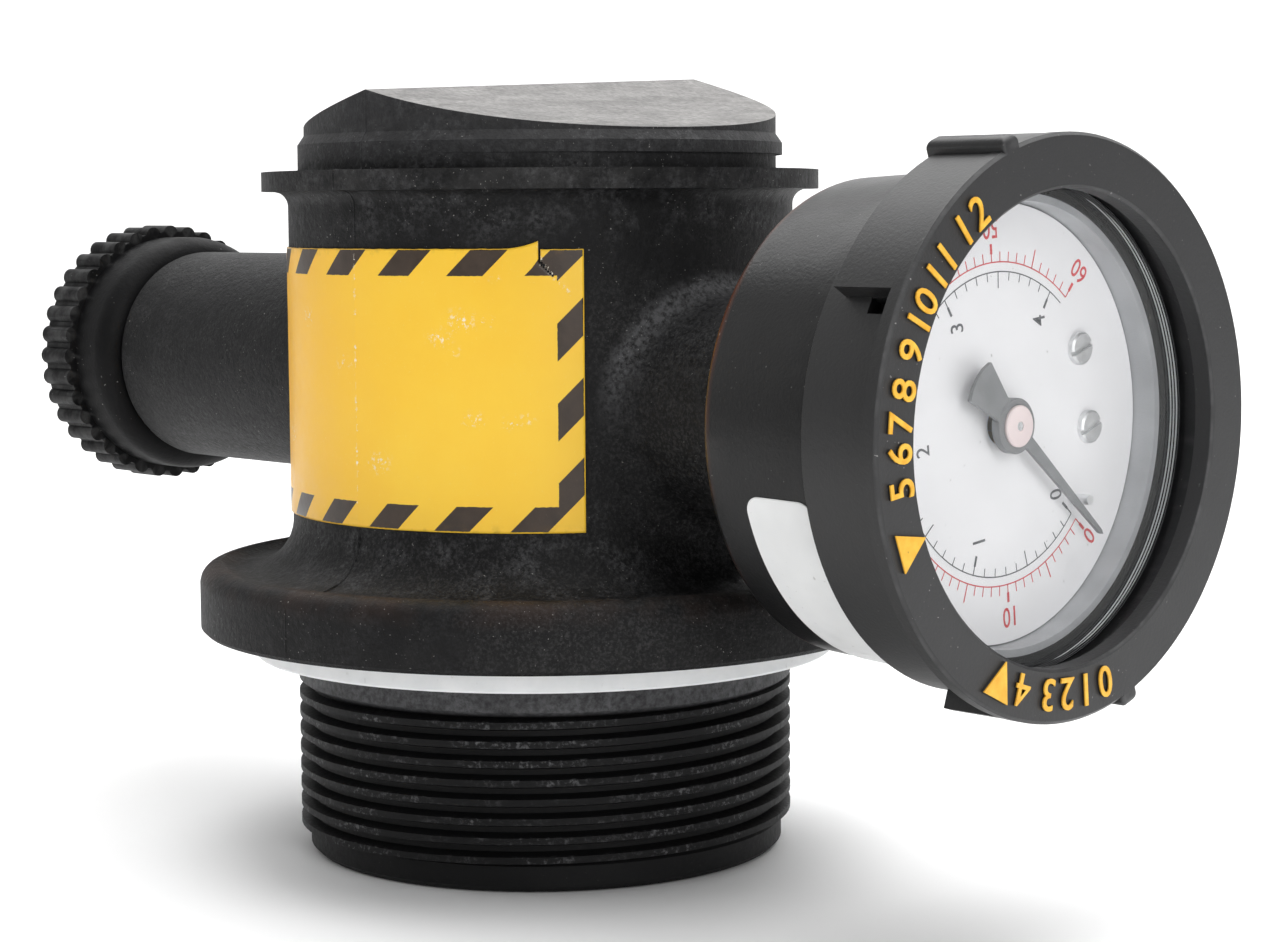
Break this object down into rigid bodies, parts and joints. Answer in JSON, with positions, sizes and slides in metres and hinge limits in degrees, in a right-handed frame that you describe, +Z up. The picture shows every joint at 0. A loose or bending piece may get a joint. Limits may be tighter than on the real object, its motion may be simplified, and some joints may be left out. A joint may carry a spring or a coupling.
{
  "type": "air relief valve and pressure gauge head",
  "caption": "Moulded air relief valve head for a pool cartridge filter, with a threaded stem, knurled relief knob and round pressure gauge in a turnable ring.",
  "frame": {"origin": "axis of the threaded stem at its lower rim", "axes": "+Z up the stem axis, +X out of the gauge face, -X out of the relief knob"},
  "size_m": [0.1671, 0.0837, 0.0938],
  "materials": {
    "body_plastic": "sandy moulded black plastic",
    "white_rubber": "white flat seal",
    "yellow_sticker": "yellow vinyl sticker",
    "knob_plastic": "satin black plastic",
    "grey_plastic": "grey plastic",
    "black_rubber": "black rubber",
    "steel": "bright steel",
    "case_plastic": "smooth black plastic",
    "white_sticker": "white vinyl sticker",
    "dial_white": "white enamel",
    "clear_lens": "clear acrylic",
    "ring_plastic": "satin dark plastic",
    "brass": "turned brass",
    "pointer_grey": "grey paint",
    "cap_pink": "pale plastic"
  },
  "bodies": {
    "head": {"valve_body": "body_plastic", "stem_gasket": "white_rubber", "body_sticker": "yellow_sticker", "gauge_case": "case_plastic", "case_sticker": "white_sticker", "dial_plate": "dial_white", "dial_screws": "steel", "stop_pin": "steel", "lens_gasket": "black_rubber", "lens": "clear_lens", "gauge_socket": "brass", "bourdon_tube": "brass", "movement_base": "brass", "movement_top": "brass", "movement_pillars": "brass", "movement_screws": "steel", "hairspring": "steel"},
    "plunger": {"valve_plunger": "grey_plastic", "seat_seal": "black_rubber", "knob_screw": "steel", "knob_washer": "steel"},
    "knob": {"relief_knob": "knob_plastic"},
    "ring": {"indicator_ring": "ring_plastic"},
    "pointer_set": {"pointer": "pointer_grey", "pointer_cap": "cap_pink", "pinion_arbor": "steel"},
    "sector_set": {"sector_gear": "brass", "sector_arbor": "steel"},
    "link": {"drive_link": "brass"}
  },
  "joints": [
    {"name": "knob_turn", "type": "hinge", "parent": "plunger", "child": "knob", "pos_m": [-0.08, 0, 0.0574], "axis": [-1, 0, 0], "range_deg": [0, 90]},
    {"name": "plunger_lift", "type": "slide", "parent": "head", "child": "plunger", "axis": [-1, 0, 0], "range_m": [0, 0.004]},
    {"name": "ring_turn", "type": "hinge", "parent": "head", "child": "ring", "pos_m": [0.075, 0, 0.0548], "axis": [1, 0, 0], "continuous": true},
    {"name": "pointer_sweep", "type": "hinge", "parent": "head", "child": "pointer_set", "pos_m": [0.072, 0, 0.0548], "axis": [-1, 0, 0], "range_deg": [0, 270]},
    {"name": "sector_swing", "type": "hinge", "parent": "head", "child": "sector_set", "pos_m": [0.065, 0.00902, 0.05808], "axis": [-1, 0, 0], "range_deg": [-34, 0]},
    {"name": "link_pivot", "type": "hinge", "parent": "sector_set", "child": "link", "pos_m": [0.064, 0.01198, 0.05756], "axis": [-1, 0, 0], "range_deg": [0, 34]}
  ],
  "couplings": [
    {"joint": "plunger_lift", "follows": "knob_turn", "m_per_rad": 0.0025465},
    {"joint": "sector_swing", "follows": "pointer_sweep", "ratio": -0.125},
    {"joint": "link_pivot", "follows": "pointer_sweep", "ratio": 0.125}
  ]
}
